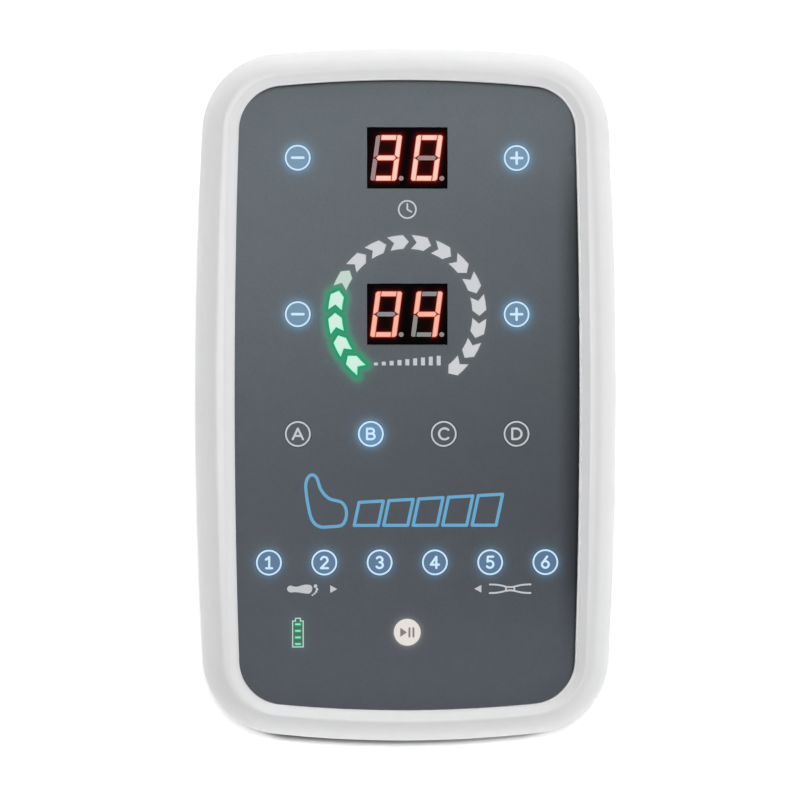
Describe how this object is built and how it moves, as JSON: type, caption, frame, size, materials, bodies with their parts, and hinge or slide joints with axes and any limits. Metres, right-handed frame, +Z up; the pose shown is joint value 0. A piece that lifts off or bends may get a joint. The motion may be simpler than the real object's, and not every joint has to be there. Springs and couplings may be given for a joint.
{
  "type": "compression therapy pump",
  "caption": "Portable air pump for compression leg sleeves, with a grey key panel, number displays and an arrow gauge in a bowed white casing.",
  "frame": {"origin": "on the table under the middle of the casing, level with the undersides of the feet", "axes": "+X to the right of the panel, +Y towards its top end, where the air sockets are, +Z up out of the panel; the unit lies on its back"},
  "size_m": [0.133, 0.2184, 0.1],
  "materials": {
    "white_abs": "moulded white ABS, semi-gloss",
    "panel_film": "printed polycarbonate film, fine velvet texture",
    "key_film": "printed polycarbonate, fine velvet texture",
    "start_key": "warm white translucent polycarbonate",
    "light_guide": "milky acrylic",
    "display_black": "black moulded display face",
    "display_bars": "diffusing epoxy, lit red",
    "grey_abs": "light grey ABS",
    "socket_grey": "grey moulded ABS",
    "black_plastic": "black moulded nylon",
    "led_white": "small surface-mount lamps",
    "board_green": "green solder mask",
    "steel": "plated steel",
    "silicone": "clear silicone tube",
    "nylon": "natural nylon",
    "coil_copper": "enamelled copper winding",
    "rubber": "black rubber",
    "foam": "open-cell filter foam",
    "battery_wrap": "shrink-wrapped cells"
  },
  "bodies": {
    "casing": {"front_cover": "white_abs", "rear_cover": "white_abs", "panel_film": "panel_film", "gauge_light_guide": "light_guide", "battery_light_guide": "light_guide", "time_display": "display_black", "time_bars": "display_bars", "pressure_display": "display_black", "pressure_bars": "display_bars", "key_switches": "black_plastic", "indicator_leds": "led_white", "control_board": "board_green", "board_parts": "black_plastic", "buzzer": "black_plastic", "board_screws": "steel", "air_socket_left": "socket_grey", "air_socket_right": "socket_grey", "air_hoses": "silicone", "valve_manifold": "nylon", "valve_coils": "coil_copper", "valve_springs": "steel", "motor_can": "steel", "crank_housing": "black_plastic", "pump_rod": "nylon", "pump_diaphragm": "rubber", "pump_head": "black_plastic", "pump_bracket": "steel", "pump_mounts": "rubber", "intake_filter": "foam", "battery_cells": "battery_wrap", "battery_tray": "black_plastic", "power_board": "board_green", "power_inlet": "black_plastic", "rubber_feet": "rubber", "cover_screws": "steel", "inner_screws": "steel"},
    "key_time_down": {"key_time_down": "key_film"},
    "key_time_up": {"key_time_up": "key_film"},
    "key_pressure_down": {"key_pressure_down": "key_film"},
    "key_pressure_up": {"key_pressure_up": "key_film"},
    "key_mode_a": {"key_mode_a": "key_film"},
    "key_mode_b": {"key_mode_b": "key_film"},
    "key_mode_c": {"key_mode_c": "key_film"},
    "key_mode_d": {"key_mode_d": "key_film"},
    "key_chamber_1": {"key_chamber_1": "key_film"},
    "key_chamber_2": {"key_chamber_2": "key_film"},
    "key_chamber_3": {"key_chamber_3": "key_film"},
    "key_chamber_4": {"key_chamber_4": "key_film"},
    "key_chamber_5": {"key_chamber_5": "key_film"},
    "key_chamber_6": {"key_chamber_6": "key_film"},
    "key_start": {"key_start": "start_key"},
    "power_button": {"power_button": "grey_abs"},
    "valve_plunger_1": {"valve_plunger_1": "steel"},
    "valve_plunger_2": {"valve_plunger_2": "steel"},
    "valve_plunger_3": {"valve_plunger_3": "steel"},
    "valve_plunger_4": {"valve_plunger_4": "steel"},
    "valve_plunger_5": {"valve_plunger_5": "steel"},
    "valve_plunger_6": {"valve_plunger_6": "steel"},
    "valve_plunger_7": {"valve_plunger_7": "steel"},
    "pump_rotor": {"pump_rotor": "steel"}
  },
  "joints": [
    {"name": "key_time_down_press", "type": "slide", "parent": "casing", "child": "key_time_down", "axis": [0, 0, -1], "range_m": [0, 0.00035], "stiffness_N_per_m": 300, "springref_m": -0.002},
    {"name": "key_time_up_press", "type": "slide", "parent": "casing", "child": "key_time_up", "axis": [0, 0, -1], "range_m": [0, 0.00035], "stiffness_N_per_m": 300, "springref_m": -0.002},
    {"name": "key_pressure_down_press", "type": "slide", "parent": "casing", "child": "key_pressure_down", "axis": [0, 0, -1], "range_m": [0, 0.00035], "stiffness_N_per_m": 300, "springref_m": -0.002},
    {"name": "key_pressure_up_press", "type": "slide", "parent": "casing", "child": "key_pressure_up", "axis": [0, 0, -1], "range_m": [0, 0.00035], "stiffness_N_per_m": 300, "springref_m": -0.002},
    {"name": "key_mode_a_press", "type": "slide", "parent": "casing", "child": "key_mode_a", "axis": [0, 0, -1], "range_m": [0, 0.00035], "stiffness_N_per_m": 300, "springref_m": -0.002},
    {"name": "key_mode_b_press", "type": "slide", "parent": "casing", "child": "key_mode_b", "axis": [0, 0, -1], "range_m": [0, 0.00035], "stiffness_N_per_m": 300, "springref_m": -0.002},
    {"name": "key_mode_c_press", "type": "slide", "parent": "casing", "child": "key_mode_c", "axis": [0, 0, -1], "range_m": [0, 0.00035], "stiffness_N_per_m": 300, "springref_m": -0.002},
    {"name": "key_mode_d_press", "type": "slide", "parent": "casing", "child": "key_mode_d", "axis": [0, 0, -1], "range_m": [0, 0.00035], "stiffness_N_per_m": 300, "springref_m": -0.002},
    {"name": "key_chamber_1_press", "type": "slide", "parent": "casing", "child": "key_chamber_1", "axis": [0, 0, -1], "range_m": [0, 0.00035], "stiffness_N_per_m": 300, "springref_m": -0.002},
    {"name": "key_chamber_2_press", "type": "slide", "parent": "casing", "child": "key_chamber_2", "axis": [0, 0, -1], "range_m": [0, 0.00035], "stiffness_N_per_m": 300, "springref_m": -0.002},
    {"name": "key_chamber_3_press", "type": "slide", "parent": "casing", "child": "key_chamber_3", "axis": [0, 0, -1], "range_m": [0, 0.00035], "stiffness_N_per_m": 300, "springref_m": -0.002},
    {"name": "key_chamber_4_press", "type": "slide", "parent": "casing", "child": "key_chamber_4", "axis": [0, 0, -1], "range_m": [0, 0.00035], "stiffness_N_per_m": 300, "springref_m": -0.002},
    {"name": "key_chamber_5_press", "type": "slide", "parent": "casing", "child": "key_chamber_5", "axis": [0, 0, -1], "range_m": [0, 0.00035], "stiffness_N_per_m": 300, "springref_m": -0.002},
    {"name": "key_chamber_6_press", "type": "slide", "parent": "casing", "child": "key_chamber_6", "axis": [0, 0, -1], "range_m": [0, 0.00035], "stiffness_N_per_m": 300, "springref_m": -0.002},
    {"name": "key_start_press", "type": "slide", "parent": "casing", "child": "key_start", "axis": [0, 0, -1], "range_m": [0, 0.00035], "stiffness_N_per_m": 300, "springref_m": -0.002},
    {"name": "power_button_press", "type": "slide", "parent": "casing", "child": "power_button", "axis": [-1, 0, 0], "range_m": [0, 0.001], "stiffness_N_per_m": 400, "springref_m": -0.002},
    {"name": "valve_plunger_1_stroke", "type": "slide", "parent": "casing", "child": "valve_plunger_1", "axis": [0, -1, 0], "range_m": [0, 0.001], "stiffness_N_per_m": 200, "springref_m": -0.002, "deforming": ["valve_springs"]},
    {"name": "valve_plunger_2_stroke", "type": "slide", "parent": "casing", "child": "valve_plunger_2", "axis": [0, -1, 0], "range_m": [0, 0.001], "stiffness_N_per_m": 200, "springref_m": -0.002, "deforming": ["valve_springs"]},
    {"name": "valve_plunger_3_stroke", "type": "slide", "parent": "casing", "child": "valve_plunger_3", "axis": [0, -1, 0], "range_m": [0, 0.001], "stiffness_N_per_m": 200, "springref_m": -0.002, "deforming": ["valve_springs"]},
    {"name": "valve_plunger_4_stroke", "type": "slide", "parent": "casing", "child": "valve_plunger_4", "axis": [0, -1, 0], "range_m": [0, 0.001], "stiffness_N_per_m": 200, "springref_m": -0.002, "deforming": ["valve_springs"]},
    {"name": "valve_plunger_5_stroke", "type": "slide", "parent": "casing", "child": "valve_plunger_5", "axis": [0, -1, 0], "range_m": [0, 0.001], "stiffness_N_per_m": 200, "springref_m": -0.002, "deforming": ["valve_springs"]},
    {"name": "valve_plunger_6_stroke", "type": "slide", "parent": "casing", "child": "valve_plunger_6", "axis": [0, -1, 0], "range_m": [0, 0.001], "stiffness_N_per_m": 200, "springref_m": -0.002, "deforming": ["valve_springs"]},
    {"name": "valve_plunger_7_stroke", "type": "slide", "parent": "casing", "child": "valve_plunger_7", "axis": [0, -1, 0], "range_m": [0, 0.001], "stiffness_N_per_m": 200, "springref_m": -0.002, "deforming": ["valve_springs"]},
    {"name": "rotor_spin", "type": "hinge", "parent": "casing", "child": "pump_rotor", "pos_m": [-0.027, -0.04, 0.032], "axis": [0, 1, 0], "continuous": true}
  ]
}
